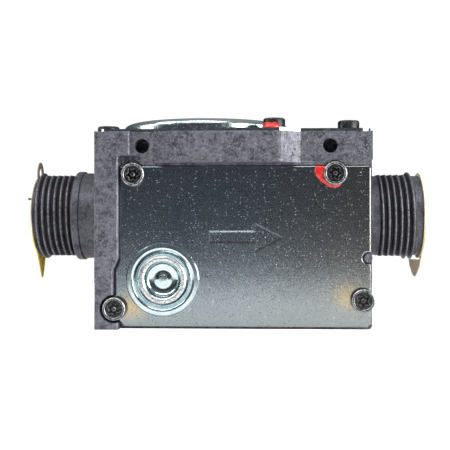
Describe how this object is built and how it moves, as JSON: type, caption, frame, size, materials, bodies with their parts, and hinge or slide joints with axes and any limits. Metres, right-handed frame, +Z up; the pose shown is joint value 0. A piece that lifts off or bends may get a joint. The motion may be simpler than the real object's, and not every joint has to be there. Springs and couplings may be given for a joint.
{
  "type": "gas valve",
  "caption": "Combination gas control valve for a boiler: cast body with threaded inlet and outlet, bolted cover plate, round diaphragm cover, solenoids and a pressure modulator.",
  "frame": {"origin": "centre of the inlet port's end face", "axes": "+X along the gas flow from inlet to outlet, +Z up towards the round diaphragm cover, -Y towards the front cover plate"},
  "size_m": [0.119, 0.1015, 0.0613],
  "materials": {
    "cast_aluminium": "die-cast, dark mottled grey",
    "zinc_plate": "zinc-plated sheet with a fine grain",
    "bright_zinc": "bright zinc-plated pressing",
    "black_screw": "black zinc",
    "red_lacquer": "hardened lacquer",
    "nitrile": "moulded rubber",
    "turned_aluminium": "turned",
    "spring_steel": "drawn wire",
    "soft_iron": "ground",
    "tube_brass": "drawn",
    "copper_winding": "enamelled copper wire",
    "bobbin_plastic": "natural nylon",
    "housing_plastic": "glass-filled black plastic",
    "cap_plastic": "translucent grey plastic",
    "strainer_steel": "perforated stainless",
    "seal_yellow": "die-cut yellow closure",
    "seal_cream": "die-cut cream closure"
  },
  "bodies": {
    "valve": {"valve_body": "cast_aluminium", "front_cover": "zinc_plate", "front_gasket": "nitrile", "front_cover_screws": "black_screw", "tamper_seal_lacquer": "red_lacquer", "diaphragm_cover": "bright_zinc", "diaphragm_cover_screws": "black_screw", "servo_diaphragm": "nitrile", "diaphragm_clamp_ring": "turned_aluminium", "diaphragm_spring": "spring_steel", "safety_valve_spring": "spring_steel", "pilot_valve_spring": "spring_steel", "modulator_spring": "spring_steel", "safety_fixed_core": "soft_iron", "pilot_fixed_core": "soft_iron", "safety_guide_tube": "tube_brass", "pilot_guide_tube": "tube_brass", "guide_tube_o_rings": "nitrile", "safety_coil_bobbin": "bobbin_plastic", "safety_coil_winding": "copper_winding", "pilot_coil_bobbin": "bobbin_plastic", "pilot_coil_winding": "copper_winding", "magnet_yoke": "bright_zinc", "solenoid_housing": "housing_plastic", "solenoid_terminals": "tube_brass", "solenoid_nuts": "bright_zinc", "modulator_base": "turned_aluminium", "modulator_screws": "black_screw", "regulator_diaphragm": "nitrile", "modulator_can": "bright_zinc", "modulator_guide": "tube_brass", "modulator_winding": "copper_winding", "modulator_terminal_block": "housing_plastic", "modulator_terminals": "tube_brass", "inlet_test_nipple": "turned_aluminium", "outlet_test_nipple": "turned_aluminium", "inlet_strainer": "strainer_steel", "channel_plug": "turned_aluminium"},
    "safety_valve": {"safety_valve_disc": "turned_aluminium", "safety_valve_seal": "nitrile", "safety_push_rod": "soft_iron", "safety_plunger": "soft_iron"},
    "pilot_valve": {"pilot_plunger": "soft_iron", "pilot_valve_seal": "nitrile"},
    "main_valve": {"main_valve_stem": "turned_aluminium", "main_valve_disc": "turned_aluminium", "main_valve_seal": "nitrile", "diaphragm_disc": "turned_aluminium"},
    "modulator_armature": {"modulator_plunger": "soft_iron"},
    "max_adjuster": {"max_pressure_nut": "tube_brass"},
    "min_adjuster": {"min_pressure_screw": "soft_iron"},
    "cap": {"modulator_cap": "cap_plastic"},
    "inlet_tap": {"inlet_test_screw": "tube_brass"},
    "outlet_tap": {"outlet_test_screw": "tube_brass"},
    "inlet_seal": {"inlet_dust_seal": "seal_yellow"},
    "outlet_seal": {"outlet_dust_seal": "seal_cream"}
  },
  "joints": [
    {"name": "safety_valve_lift", "type": "slide", "parent": "valve", "child": "safety_valve", "axis": [0, -1, 0], "range_m": [0, 0.003], "stiffness_N_per_m": 400, "springref_m": -0.008, "deforming": ["safety_valve_spring"]},
    {"name": "pilot_valve_lift", "type": "slide", "parent": "valve", "child": "pilot_valve", "axis": [0, 1, 0], "range_m": [0, 0.001], "stiffness_N_per_m": 250, "springref_m": -0.004, "deforming": ["pilot_valve_spring"]},
    {"name": "main_valve_lift", "type": "slide", "parent": "valve", "child": "main_valve", "axis": [0, 0, 1], "range_m": [0, 0.003], "stiffness_N_per_m": 300, "springref_m": -0.008, "deforming": ["diaphragm_spring", "servo_diaphragm"]},
    {"name": "modulator_travel", "type": "slide", "parent": "valve", "child": "modulator_armature", "axis": [0, -1, 0], "range_m": [0, 0.0012], "stiffness_N_per_m": 200, "springref_m": -0.004, "deforming": ["modulator_spring", "regulator_diaphragm"]},
    {"name": "max_pressure_turn", "type": "hinge", "parent": "valve", "child": "max_adjuster", "pos_m": [0.0785, 0.066, -0.003], "axis": [0, 1, 0], "range_deg": [-360, 360]},
    {"name": "min_pressure_turn", "type": "hinge", "parent": "max_adjuster", "child": "min_adjuster", "pos_m": [0.0785, 0.066, -0.003], "axis": [0, 1, 0], "range_deg": [-360, 360]},
    {"name": "cap_pull", "type": "slide", "parent": "valve", "child": "cap", "axis": [0, 1, 0], "range_m": [0, 0.03]},
    {"name": "inlet_tap_turn", "type": "hinge", "parent": "valve", "child": "inlet_tap", "pos_m": [0.0665, 0.046, -0.027], "axis": [0, -1, 0], "range_deg": [0, 540]},
    {"name": "outlet_tap_turn", "type": "hinge", "parent": "valve", "child": "outlet_tap", "pos_m": [0.0915, 0.046, -0.027], "axis": [0, -1, 0], "range_deg": [0, 540]},
    {"name": "inlet_seal_pull", "type": "slide", "parent": "valve", "child": "inlet_seal", "axis": [-1, 0, 0], "range_m": [0, 0.04]},
    {"name": "outlet_seal_pull", "type": "slide", "parent": "valve", "child": "outlet_seal", "axis": [1, 0, 0], "range_m": [0, 0.04]}
  ]
}
